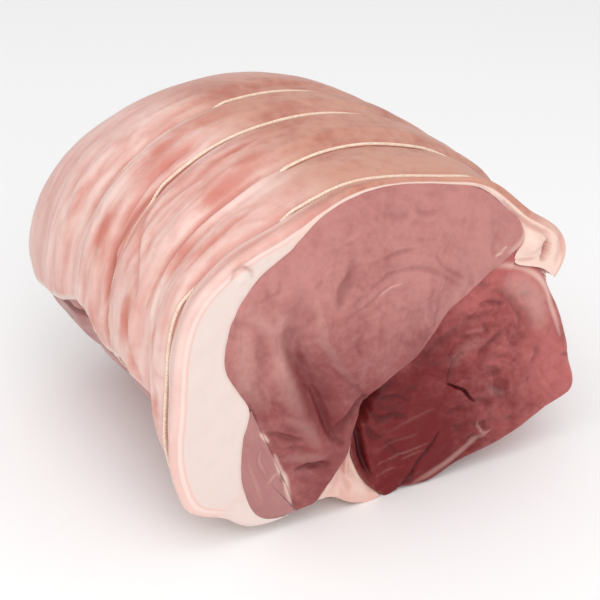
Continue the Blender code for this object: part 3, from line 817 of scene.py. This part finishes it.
def rind_relief(angle, behind):
    """How far the skin stands out (mm), its painted shade and highlight, and how strong the patches are."""
    left = smooth_step(100, 140, angle)
    swayed = behind + 5.0 * pleats(angle, behind, PLEATS_SWAY, 4)
    broad, narrow = pleats(angle, swayed, BROAD_PLEATS, 5), pleats(angle, swayed, NARROW_PLEATS, 6)
    relief = (0.35 + 0.75 * left) * broad + (0.16 + 0.34 * left) * narrow - 0.5 * left
    # painted highlight on the pleats' ridges, painted shade in their hollows
    shade = -0.6 * broad - 0.6 * narrow
    for height, half_width, painted_shading, line in PUCKERS:
        here = groove(angle, behind, line, half_width)
        relief = relief + height * here
        # painted shade in the puckers' creases, painted highlight on their ridges
        shade = shade + painted_shading * here
    for at, (start, end), crease in zip(STRING_AT, BURIED, CREASES):
        furrow = np.exp(-(((behind - at) / FURROW_WIDTH) ** 2))
        lips = np.exp(-(((np.abs(behind - at) - LIP_AT) / LIP_WIDTH) ** 2))
        shut = smooth_step(start - 6, start + 6, angle) * smooth_step(end + 6, end - 6, angle)
        relief = relief - (FURROW_DEPTH + crease * shut) * furrow + LIP_HEIGHT * lips
        # painted shade in each string's furrow, painted highlight on its lips
        shade = shade + (0.6 + 0.8 * crease * shut) * furrow - 0.25 * lips
    fade = smooth_step(0, 6, behind)
    patches = [
        strength * np.exp(-(((angle - a) / wide) ** 2) - ((behind - b) / long) ** 2)
        for a, b, wide, long, strength in SALMON
    ]
    return relief * fade, shade * fade, np.max(patches, 0)


depths = [round(FURROW_DEPTH + crease, 1) for crease in CREASES]
print("Where they are covered, the strings' furrows are", depths, "mm deep")

# %% [markdown]
# The blanket's rim is the cut through fat and rind. At the upper right it ends in a loose flap with one white
# lump, a hollow and some folds; the rest is nearly smooth. Its lines are in the section, as on the muscles.
# %% Folds on the rim
# Each is (depth, half width, darkness, line); the darkness is painted shade in a fold, and below 0 makes a bump
# paler.
RIM_FOLDS = (
    (-3.4, 7.0, -0.5, ((69, 112), (70, 103))),
    (1.5, 2.0, 0.6, ((52, 131), (60, 122), (68, 115.5), (77, 110), (79.5, 103))),
    (4.0, 2.6, 1.1, ((78, 106), (78, 101), (76, 97))),
    (1.2, 2.6, 0.4, ((80.5, 115), (84.5, 108), (86, 100), (83, 94))),
    (-1.0, 2.0, 0.0, ((76, 116), (82, 111), (85, 106))),
    (0.8, 1.5, 0.5, ((62, 101), (67, 100), (72, 99.5))),
    (-1.4, 2.4, -0.4, ((31.5, 145.5), (39.5, 142.5), (48.5, 135), (54, 130))),
    (1.2, 1.6, 0.7, ((-71.5, 123), (-69.5, 126.5), (-66.5, 127.5), (-63.5, 126), (-62, 122.5))),
    (-0.8, 2.4, -0.2, ((-69, 121), (-66, 123), (-63, 121))),
)


def rim_relief(points, behind):
    """How far the rim stands out (mm), and how dark its folds are painted, as painted shade."""
    where = np.column_stack([points, behind])
    relief = 0.5 * lumps(where, 12.0, 41) + 0.2 * lumps(where, 4.0, 42)
    dark = np.zeros(len(points))
    for depth, half_width, darkness, line in RIM_FOLDS:
        here = groove(*points.T, line, half_width)
        relief -= depth * here
        dark += darkness * here
    return relief, dark


print("The rim has", len(RIM_FOLDS), "folds and bumps")

# %% [markdown]
# The block's directions become the angle round the roll, the way along it and the height from lean to skin.
# Its cuts are closer together near the cut face, where the detail is. The blanket lies almost on the lean, and
# its free edges are rounded, so no gap shows and no edge is sharp.
# %% Bend the block into rind and fat
BLANKET_CUTS = (236, 176, 16)
CROWDING = 1.35
FIXED_RIND = 150.0  # beyond this angle the rind is drawn up with its left edge
LEAN_CLEAR, LEAN_CLEAR_BEHIND = 0.03, 0.3
EDGE_SHARE, EDGE_BLUNT = 24, 0.2
RIM_ROUND, RIM_ROUND_SHARE = 2.5, 0.4
EDGE_HEIGHT_RIGHT, EDGE_HEIGHT_LEFT = 0.46, 2 / 3


def blanket_angle(share, behind):
    angle = RIND_RIGHT_EDGE + (RIND_LEFT_EDGE_AT_FACE - RIND_RIGHT_EDGE) * share
    drawn_up = (rind_left_edge(behind) - FIXED_RIND) / (RIND_LEFT_EDGE_AT_FACE - FIXED_RIND)
    return np.minimum(angle, FIXED_RIND) + np.maximum(angle - FIXED_RIND, 0) * drawn_up


def blanket_sides(share, behind, angle):
    """How far the lean, the blanket's inside and its outside are from the middle, and how open its edge is."""
    lean = outline_radius(LEAN_AT_FACE, LEAN_BEHIND, angle, behind)
    inner = lean + LEAN_CLEAR + LEAN_CLEAR_BEHIND * smooth_step(2, 10, behind)
    skin = outline_radius(SKIN_AT_FACE, SKIN_BEHIND, angle, behind)
    to_edge = np.clip(np.minimum(share, 1 - share) * EDGE_SHARE, 0, 1)
    edge_open = np.maximum(np.sqrt(to_edge * (2 - to_edge)), EDGE_BLUNT)
    to_rim = np.clip(np.minimum(behind, ROLL_LENGTH - behind) / RIM_ROUND, 0, 1)
    rounded = RIM_ROUND * (1 - np.sqrt(1 - (1 - to_rim) ** 2))
    middle = inner + (skin - inner) * np.where(share < 0.5, EDGE_HEIGHT_RIGHT, EDGE_HEIGHT_LEFT)
    outside = middle + (skin - middle) * edge_open - np.minimum(rounded, (skin - inner) * RIM_ROUND_SHARE)
    return inner, middle + (inner - middle) * edge_open, outside, edge_open


def blanket(name):
    bm = cut_block(BLANKET_CUTS)
    share, length, height = (np.array([v.co for v in bm.verts]) + 0.5).T
    behind = length**CROWDING * ROLL_LENGTH
    angle = blanket_angle(share, behind)
    inner, inside, outside, edge_open = blanket_sides(share, behind, angle)
    relief, shade, salmon = rind_relief(angle, behind)
    outside = outside + relief * edge_open
    radius = inside + (outside - inside) * height
    points = polar(angle, radius)
    on_rim = smooth_step(5, 0, behind)
    rim_bump, rim_fold_shade = rim_relief(points, behind)
    place_all(bm.verts, roll_point(*points.T, behind - rim_bump * on_rim))
    thing = closed_piece(name, bm)
    thing.data.set_sharp_from_angle(angle=math.radians(60))
    bare_fat = smooth_step(211, 217, angle) * smooth_step(45, 25, behind)
    note_all(thing, {
        "under_skin": outside - radius, "over_lean": radius - inner, "angle": angle, "behind": behind,
        "shade": shade, "salmon": salmon, "fold": rim_fold_shade * on_rim,
        "pale": np.maximum(bare_fat, smooth_step(0.972, 0.992, share)),
    })
    print(name, "has", len(thing.data.polygons), "faces")
    return thing


rind = blanket("rind_and_fat_blanket")

# %% [markdown]
# A tie is pulled taut, so it goes straight from one bulge to the next. That is the convex hull of the section.
# It has its own few lines here, because the hull operator of bmesh gives faces and not points in their order.
# %% The way of a taut string
HULL_STEP = 2.0
PATH_STEP = 3.0
HULL_SAMPLES = 720


def half_hull(row):
    kept = []
    for point in row:
        while len(kept) > 1 and np.cross(kept[-1] - kept[-2], point - kept[-1]) <= 0:
            kept.pop()
        kept.append(point)
    return kept[:-1]


def taut_outline(behind):
    """The convex hull of skin and bare lean, as a distance from the middle at even angles."""
    angles = np.arange(0, 360, HULL_STEP)
    covered = (angles >= RIND_RIGHT_EDGE) & (angles <= rind_left_edge(behind))
    skin = outline_radius(SKIN_AT_FACE, SKIN_BEHIND, angles, behind)
    lean = outline_radius(LEAN_AT_FACE, LEAN_BEHIND, angles, behind)
    points = polar(angles, np.where(covered, skin, lean))
    ordered = points[np.lexsort((points[:, 1], points[:, 0]))]
    corners = np.array(half_hull(ordered) + half_hull(ordered[::-1]))
    hull = evenly_spaced(np.vstack([corners, corners[:1]]), HULL_SAMPLES) - CENTRE
    hull_angle = np.degrees(np.arctan2(hull[:, 1], hull[:, 0]))
    grid = np.arange(0, 360, PATH_STEP)
    return grid, np.interp(grid, hull_angle, np.linalg.norm(hull, axis=1), period=360)


print("The first tie stands", round(float(taut_outline(STRING_AT[0])[1].max())), "mm from the middle at most")

# %% [markdown]
# Butcher's string is a few twisted strands. Each strand is a long grid rolled into a ring-shaped tube that
# winds round the path of the string; a plain tube with a bump map would lose the knobbly outline that shows up
# close.
# %% Ties of twisted string
STRANDS = 3
STRAND_SIDES = 6
TWIST = 4.5
STRING_THICK = 1.5
STRAND_SHARE = 0.52
STRING_LIFT = 0.25
STRING_SINKS = 2.4
STRING_POINTS = 1400


def tie_path(behind, buried):
    """Even points (m) along a tie; buried is the stretch of angles in which the rind has closed over it."""
    angles, radius = taut_outline(behind)
    start, end = buried
    shut = smooth_step(start - 3, start + 5, angles) * smooth_step(end + 3, end - 5, angles)
    loop = polar(angles, radius + STRING_LIFT - STRING_SINKS * shut)
    path = roll_point(*loop.T, behind, below_meat=STRING_THICK / 2 + 0.6)
    wrapped = np.take(path, np.arange(-2, len(path) + 2), 0, mode="wrap")
    table = np.column_stack([np.arange(len(path) + 4) - 2, wrapped])
    return smooth_values(table, np.linspace(0, len(path), STRING_POINTS + 1)[:-1])


def string_tie(name, behind, buried):
    fine = tie_path(behind, buried)
    step = np.linalg.norm(np.diff(np.vstack([fine, fine[:1]]), axis=0), axis=1)
    turns = round(step.sum() / MM / TWIST)
    ahead = np.roll(fine, -1, 0) - np.roll(fine, 1, 0)
    ahead /= np.linalg.norm(ahead, axis=1)[:, None]
    side = np.cross(ahead, (0, 1, 0))
    side /= np.linalg.norm(side, axis=1)[:, None]
    up = np.cross(side, ahead)
    along = np.concatenate([[0], np.cumsum(step)[:-1]]) / step.sum()
    strand_radius = STRING_THICK / 2 * STRAND_SHARE * MM
    bm = bmesh.new()
    for strand in range(STRANDS):
        wind = 2 * math.pi * (turns * along + strand / STRANDS)
        core = fine + strand_radius * 0.95 * (np.cos(wind)[:, None] * side + np.sin(wind)[:, None] * up)
        made = bmesh.ops.create_grid(bm, x_segments=len(fine), y_segments=STRAND_SIDES, size=0.5)["verts"]
        where = np.array([v.co for v in made]) + 0.5
        index = np.rint(where[:, 0] * len(fine)).astype(int) % len(fine)
        around = where[:, 1] * 2 * math.pi
        offset = np.cos(around)[:, None] * side[index] + np.sin(around)[:, None] * up[index]
        place_all(made, core[index] + strand_radius * offset)
    bmesh.ops.remove_doubles(bm, verts=bm.verts, dist=1e-6)
    thing = closed_piece(name, bm)
    print(name, "is", round(step.sum() / MM), "mm round, with", len(thing.data.polygons), "faces")
    return thing


strings = [string_tie(f"string_{i}", *tie) for i, tie in enumerate(zip(STRING_AT, BURIED), start=1)]

# %% [markdown]
# A finish is a small set of shader nodes. Writing them as sums keeps them readable, so one class wraps a socket
# and turns + - * / into Math nodes. The same nodes could be joined by hand in the shader editor.
# %% Shader sums
class Amount:
    """A number that changes over the surface."""

    def __init__(self, finish, socket):
        self.finish, self.socket = finish, socket

    def _sum(self, operation, first, second):
        return self.finish.add("ShaderNodeMath", {"operation": operation}, {0: first, 1: second})

    def __add__(self, other):
        return self._sum("ADD", self, other)

    def __sub__(self, other):
        return self._sum("SUBTRACT", self, other)

    def __rsub__(self, other):
        return self._sum("SUBTRACT", other, self)

    def __mul__(self, other):
        return self._sum("MULTIPLY", self, other)

    def __truediv__(self, other):
        return self._sum("DIVIDE", self, other)

    __radd__ = __add__
    __rmul__ = __mul__

    def between(self, low, high):
        """0 below low, 1 above high, smooth between."""
        kind = {"interpolation_type": "SMOOTHSTEP"}
        return self.finish.add("ShaderNodeMapRange", kind, {"Value": self, "From Min": low, "From Max": high})


print("Shader sums are written with + - * / and between()")

# %% [markdown]
# A second class holds one material: it starts with the Principled shader, and one method adds any other node.
# The rest are short names for what is needed often, such as noise or a blend of two colours.
# %% A material and its nodes
class Finish:
    """One material and its nodes."""

    def __init__(self, name, shader_values=None):
        self.material = bpy.data.materials.new(name)
        self.material.use_nodes = True
        self.nodes = self.material.node_tree.nodes
        self.links = self.material.node_tree.links
        self.shader = self.nodes["Principled BSDF"]
        for socket, value in (shader_values or {}).items():
            self.shader.inputs[socket].default_value = value

    def add(self, kind, settings=None, inputs=None, output=0):
        node = self.nodes.new(kind)
        for key, value in (settings or {}).items():
            setattr(node, key, value)
        for key, value in (inputs or {}).items():
            self.feed(node.inputs[key], value)
        return Amount(self, node.outputs[output])

    def feed(self, socket, value):
        if isinstance(value, Amount):
            self.links.new(value.socket, socket)
        elif isinstance(value, tuple) and len(value) == 3 and socket.type == "RGBA":
            socket.default_value = (*value, 1)
        else:
            socket.default_value = value

    def noted(self, name):
        return self.add("ShaderNodeAttribute", {"attribute_name": name}, output="Fac")

    def place(self):
        return self.add("ShaderNodeTexCoord", output="Object")

    def noise(self, scale, detail=2.0, vector=None, distortion=0.0):
        inputs = {"Scale": scale, "Detail": detail, "Distortion": distortion, "Vector": vector or self.place()}
        return self.add("ShaderNodeTexNoise", {}, inputs)

    def blend(self, share, first, second):
        """One colour where share is 0, the other where it is 1."""
        return self.add("ShaderNodeMix", {"data_type": "RGBA"}, {0: share, 6: first, 7: second}, output=2)

    def streaks(self, length_scale, across):
        """Noise drawn out along lines of equal across."""
        inputs = {0: self.place(), 1: (length_scale,) * 3}
        slow = self.add("ShaderNodeVectorMath", {"operation": "MULTIPLY"}, inputs)
        fast = self.add("ShaderNodeCombineXYZ", {}, {0: across, 1: across * 0.7, 2: across * -0.4})
        return self.noise(1.0, 3.0, self.add("ShaderNodeVectorMath", {"operation": "ADD"}, {0: slow, 1: fast}))

    def stretched(self, scale):
        return self.add("ShaderNodeMapping", {}, {"Vector": self.place(), "Scale": scale})

    def bump(self, height, strength, distance):
        inputs = {"Height": height, "Strength": strength, "Distance": distance}
        self.set("Normal", self.add("ShaderNodeBump", {}, inputs))

    def set(self, name, value):
        self.feed(self.shader.inputs[name], value)


def screen(red, green, blue):
    """A colour as a screen shows it (0 to 255) as the shader needs it."""
    share = [v / 255 for v in (red, green, blue)]
    return tuple(v / 12.92 if v <= 0.04045 else ((v + 0.055) / 1.055) ** 2.4 for v in share)


print("A screen's middle grey is", round(screen(128, 128, 128)[0], 3), "to the shader")

# %% [markdown]
# Raw meat is moist: a satin surface with a little light scattered under it. Noise in four sizes makes it
# uneven, one of them drawn out along the grain. Along the bare sides it is paler, where thin membrane covers
# the bundles.
# %% Lean meat
MOIST = {"Specular IOR Level": 0.4, "Subsurface Weight": 0.2, "Subsurface Scale": 0.003}
MEMBRANE_WHITE = screen(232, 196, 184)
GRAIN_PITCH = 0.25
SIDE_STREAKS = (170, 18, 170)


def lean_finish(name, pale, dark, deep):
    finish = Finish(name, MOIST | {"Specular IOR Level": 0.32, "Subsurface Radius": (1.0, 0.3, 0.2)})
    streaks = finish.streaks(60.0, finish.noted("grain") * GRAIN_PITCH)
    broad = finish.noise(34.0, 3.0)
    mottle = finish.noise(130.0, 4.0, distortion=0.6)
    fine = finish.noise(420.0, 3.0)
    tone = finish.noted("tone") + (broad - 0.5) * 0.9 + (streaks - 0.5) * 0.6
    tone = tone + (mottle - 0.5) * 0.8 + (fine - 0.5) * 0.5
    colour = finish.blend(tone.between(-0.35, 1.15), pale, dark)
    # painted shade: the colour turns to the deep one in the folds
    colour = finish.blend(finish.noted("fold") * 0.9, colour, deep)
    colour = finish.blend(finish.noted("pale"), colour, MEMBRANE_WHITE)
    sides = finish.noise(1.0, 3.0, finish.stretched(SIDE_STREAKS))
    colour = finish.blend(finish.noted("side") * sides.between(0.3, 0.8) * 0.32, colour, MEMBRANE_WHITE)
    finish.set("Base Color", colour)
    finish.set("Roughness", 0.26 + mottle * 0.3)
    finish.bump(streaks * 0.5 + broad * 0.6 + mottle * 0.6 + fine * 0.15, 0.4, 0.001)
    return finish.material


# The last colour of each is the painted shade in its folds.
pale_lean = lean_finish("pale_lean", screen(192, 130, 125), screen(134, 60, 60), screen(96, 28, 32))
dark_lean = lean_finish("dark_lean", screen(186, 102, 99), screen(108, 8, 15), screen(54, 2, 5))
grey_lean = lean_finish("grey_lean", screen(178, 124, 121), screen(156, 98, 98), screen(106, 48, 50))
print("A lean finish has", len(pale_lean.node_tree.nodes), "nodes")

# %% [markdown]
# Pork fat is nearly white and waxy, with a pink cloud here and there. In its folds it is painted redder, as
# painted shade, and it is also redder towards one point of its face.
# %% Fat
def fat_finish(name):
    finish = Finish(name, MOIST | {"Roughness": 0.42, "Subsurface Radius": (1.0, 0.5, 0.35)})
    cloud = finish.noise(60.0, 3.0)
    colour = finish.blend(cloud.between(0.3, 0.75), screen(232, 200, 188), screen(226, 176, 162))
    # painted shade in the folds, with the redder tone towards one point
    colour = finish.blend(finish.noted("tone") + finish.noted("fold"), colour, screen(196, 130, 122))
    finish.set("Base Color", colour)
    finish.bump(cloud, 0.25, 0.001)
    return finish.material


white_fat = fat_finish("white_fat")
print("The fat's finish has", len(white_fat.node_tree.nodes), "nodes")

# %% [markdown]
# The rind is pale pink skin. Its creases are painted darker and redder, as painted shade, and its ridges paler,
# as painted highlight. It is redder in flushed patches, tanned on the top, where it dried, and paler by the rim
# and far away. Each of these is a layer over the last, as a painter would glaze.
# %% The rind's skin
FAT_LEFT, FAT_RIGHT = screen(229, 211, 204), screen(226, 196, 184)


def skin_colour(finish, patches, fine, pleats, mottle):
    noted = finish.noted
    # painted shade and highlight from the rind's relief, with noise for the skin's own mottling
    shade = noted("shade") * 0.6 + (patches - 0.5) * 1.8 + (pleats - 0.5) * 1.4 + (fine - 0.5) * 0.5
    skin = finish.blend(shade.between(-0.8, 0.9), screen(236, 205, 196), screen(212, 144, 132))
    tanned = (fine * 0.5 + patches * 1.3).between(0.75, 1.15)
    tan = finish.blend(tanned, screen(197, 138, 116), screen(172, 100, 82))
    flushed = noted("salmon") * 0.9 + (mottle - 0.42) * 1.1
    by_rim = noted("behind").between(16, 3) * noted("angle").between(135, 160)
    loose_end = noted("angle").between(40, 22) * noted("behind").between(30, 12)
    for share, colour in (
        # painted shade: the deepest creases turn a brownish red
        (noted("shade").between(0.8, 2.2) * 0.75, screen(182, 108, 94)),
        (flushed.between(0.05, 1.05) * 0.9, screen(200, 114, 96)),
        (by_rim * 0.55, screen(238, 210, 201)),
        (noted("angle").between(128, 100) * 0.85, tan),
        (loose_end * 0.8, screen(234, 198, 184)),
        (noted("behind").between(112, 150) * 0.45, screen(222, 184, 176)),
    ):
        skin = finish.blend(share, skin, colour)
    return skin


print("The fat is whitest on the left:", [round(v, 2) for v in FAT_LEFT])

# %% [markdown]
# On the cut rim the skin is a thin pink line, then comes a paler layer, then the fat, a little pinker next to
# the lean. How far a point is under the skin was noted on the mesh (mm), so the layers follow the skin
# everywhere.
# %% The cut through rind and fat
def cut_colour(finish, fat):
    depth = finish.noted("under_skin")
    cut = finish.blend(depth.between(2.0, 2.8), screen(238, 214, 206), screen(232, 196, 186))
    cut = finish.blend(depth.between(3.0, 3.9), cut, fat)
    by_lean = finish.noted("over_lean").between(1.8, 0.1)
    cut = finish.blend(by_lean * 0.45, cut, screen(222, 174, 164))
    return finish.blend(finish.noted("angle").between(140, 112), cut, screen(240, 208, 195))


def rind_finish(name):
    finish = Finish(name, MOIST | {"Subsurface Radius": (1.0, 0.4, 0.3)})
    patches = finish.noise(26.0, 3.0)
    fine = finish.noise(230.0, 4.0)
    round_roll = {0: finish.noted("angle") * 0.07, 1: finish.noted("behind") * 0.24}
    pleats = finish.noise(1.0, 3.0, finish.add("ShaderNodeCombineXYZ", {}, round_roll), 0.5)
    mottle = finish.noise(70.0, 4.0, distortion=0.8)
    fat = finish.blend(finish.noted("angle").between(135, 105), FAT_LEFT, FAT_RIGHT)
    skin = finish.blend(finish.noted("pale") * 0.9, skin_colour(finish, patches, fine, pleats, mottle), fat)
    inside = finish.noted("under_skin").between(0.3, 1.0) * (1 - finish.noted("pale"))
    colour = finish.blend(inside, skin, cut_colour(finish, fat))
    # painted shade in the folds of the rim
    colour = finish.blend(finish.noted("fold") * 0.8, colour, screen(190, 110, 96))
    finish.set("Base Color", colour)
    finish.set("Roughness", 0.36 + patches * 0.2)
    finish.bump(fine * 0.4 + patches + pleats * 1.6 + mottle * 0.4, 0.35, 0.001)
    return finish.material


pink_rind = rind_finish("pink_rind")
print("The rind's finish has", len(pink_rind.node_tree.nodes), "nodes")

# %% [markdown]
# The string is cream cotton: rough, without any shine, and with a fine fuzz that only bump can show.
# %% String
def string_finish(name):
    finish = Finish(name, {"Roughness": 0.85})
    fuzz = finish.noise(900.0, 3.0)
    finish.set("Base Color", finish.blend(fuzz.between(0.3, 0.7), screen(238, 212, 188), screen(252, 238, 222)))
    finish.bump(fuzz, 0.5, 0.0003)
    return finish.material


cream_string = string_finish("cream_string")
print("The string's finish has", len(cream_string.node_tree.nodes), "nodes")

# %% [markdown]
# Each piece gets its finish, and is tied to the solid that it stands for. Nothing moves in a joint of meat, so
# they all ride on the one body there is.
# %% Dress the pieces and tie them to the solids
dressing = [
    (eye_lean, pale_lean, "lean_pale", "eye_muscle"),
    (round_lean, dark_lean, "lean_dark", "round_muscle"),
    (small_lean, grey_lean, "lean_grey", "small_muscle"),
    (seam_fat, white_fat, "fat", "seam_fat"),
    (rind, pink_rind, "rind", "rind_and_fat"),
]
dressing += [(tie, cream_string, "string", f"string_tie_{i}") for i, tie in enumerate(strings, start=1)]
for piece, finish, slot_name, node in dressing:
    piece.data.materials.append(finish)
    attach(piece, "root")
    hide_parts(node)
print("Dressed", len(dressing), "pieces")

# %% [markdown]
# The joint stands on a pale floor that runs on past the picture's edge, as in a shop's product photo.
# %% Floor
def studio_floor():
    bm = bmesh.new()
    bmesh.ops.create_grid(bm, x_segments=1, y_segments=1, size=3.0)
    floor = add_object("floor", bm)
    looks = {"Base Color": (0.97, 0.97, 0.97, 1), "Roughness": 0.9}
    floor.data.materials.append(Finish("floor_white", looks).material)
    return floor


print("The floor is", round(studio_floor().dimensions.x), "m wide")

# %% [markdown]
# The light is soft, as from a tent: bright air all round, a big lamp above on the left and a weaker one in
# front. A single small lamp would give hard shadows, which wet meat turns into glare.
# %% Light
AIR_STRENGTH = 0.72
# Each lamp is (name, place, size, power)
LAMPS = (
    ("light_above", (-0.5, -0.5, 1.4), 1.4, 8.0),
    ("light_front", (-0.3, -1.4, 0.9), 1.0, 6.0),
)
LIT = Vector((0, 0, 0.07))
world = bpy.data.worlds.new("studio_air")
bpy.context.scene.world = world
world.use_nodes = True
air = world.node_tree.nodes["Background"]
air.inputs["Color"].default_value = (1, 1, 1, 1)
air.inputs["Strength"].default_value = AIR_STRENGTH
for name, place, size, power in LAMPS:
    lamp = bpy.data.lights.new(name, "AREA")
    lamp.size = size
    lamp.energy = power
    light = bpy.data.objects.new(name, lamp)
    light.location = place
    light.rotation_euler = (LIT - Vector(place)).to_track_quat("-Z", "Y").to_euler()
    bpy.context.scene.collection.objects.link(light)
    print(name, "is", round((LIT - Vector(place)).length, 2), "m from the joint")

# %% [markdown]
# The camera looks at the cut face from the left and above, through a long lens, so the joint isn't distorted.
# %% Camera
AIM = Vector((-0.04224, -0.0865, 0.10628))
FROM_AIM = Vector((-0.26998, -0.48706, 0.28374))
lens = bpy.data.cameras.new("photo_camera")
lens.lens = 96
lens.sensor_width = 36
camera = bpy.data.objects.new("photo_camera", lens)
camera.location = AIM + FROM_AIM
camera.rotation_euler = (AIM - camera.location).to_track_quat("-Z", "Y").to_euler()
bpy.context.scene.collection.objects.link(camera)
bpy.context.scene.camera = camera
bpy.context.scene.view_settings.view_transform = "Standard"
print("The camera is", round(FROM_AIM.length, 2), "m away")
